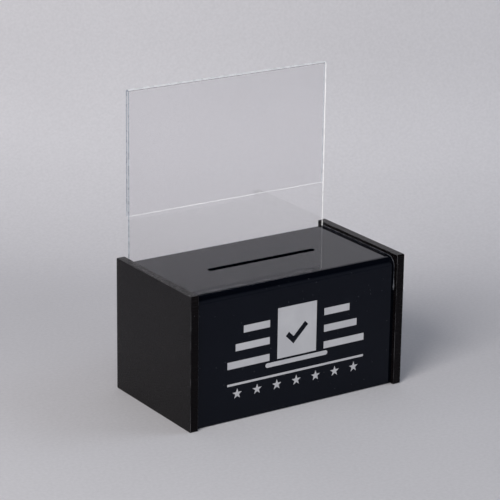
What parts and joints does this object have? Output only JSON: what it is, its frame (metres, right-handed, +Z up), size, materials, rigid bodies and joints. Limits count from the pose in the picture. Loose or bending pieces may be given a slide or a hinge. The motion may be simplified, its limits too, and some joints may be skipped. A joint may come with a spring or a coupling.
{
  "type": "ballot box",
  "caption": "Black countertop ballot box with thick end panels, a bent top and front with a slot, a clear folded sign header behind the top and a locking rear door.",
  "frame": {"origin": "on the table, under the middle of the box", "axes": "+Z up, +X along the width to the right seen from the front, -Y out of the front wall"},
  "size_m": [0.273, 0.151, 0.336],
  "materials": {
    "panel_black": "black acrylic, light scuffs",
    "shell_black": "polished black acrylic",
    "clear_acrylic": "clear polished acrylic",
    "film_white": "satin film",
    "hinge_steel": "plated steel",
    "lock_chrome": "plated die-cast",
    "lock_brass": "plain brass"
  },
  "bodies": {
    "box": {"left_end_panel": "panel_black", "right_end_panel": "panel_black", "bent_shell": "shell_black", "floor_panel": "shell_black", "rear_rail": "shell_black", "channel_strip": "shell_black", "channel_rest": "shell_black", "door_stop": "shell_black", "upper_frame_leaf": "hinge_steel", "lower_frame_leaf": "hinge_steel", "upper_hinge_pin": "hinge_steel", "lower_hinge_pin": "hinge_steel", "frame_leaf_screws": "hinge_steel", "front_graphic": "film_white"},
    "header": {"sign_header": "clear_acrylic"},
    "door": {"rear_door": "shell_black", "upper_door_leaf": "hinge_steel", "lower_door_leaf": "hinge_steel", "door_leaf_screws": "hinge_steel", "door_leaf_nuts": "hinge_steel", "lock_housing": "lock_chrome", "lock_washer": "hinge_steel", "lock_nut": "hinge_steel"},
    "lock": {"lock_plug": "lock_chrome", "lock_tumblers": "lock_brass", "lock_cam": "hinge_steel", "cam_screw": "hinge_steel"}
  },
  "joints": [
    {"name": "header_lift", "type": "slide", "parent": "box", "child": "header", "axis": [0, 0, 1], "range_m": [0, 0.06]},
    {"name": "door_swing", "type": "hinge", "parent": "box", "child": "door", "pos_m": [0.1245, 0.073, 0.05545], "axis": [0, 0, -1], "range_deg": [0, 110]},
    {"name": "lock_turn", "type": "hinge", "parent": "door", "child": "lock", "pos_m": [-0.105, 0.0705, 0.05545], "axis": [0, 1, 0], "range_deg": [0, 90]}
  ]
}
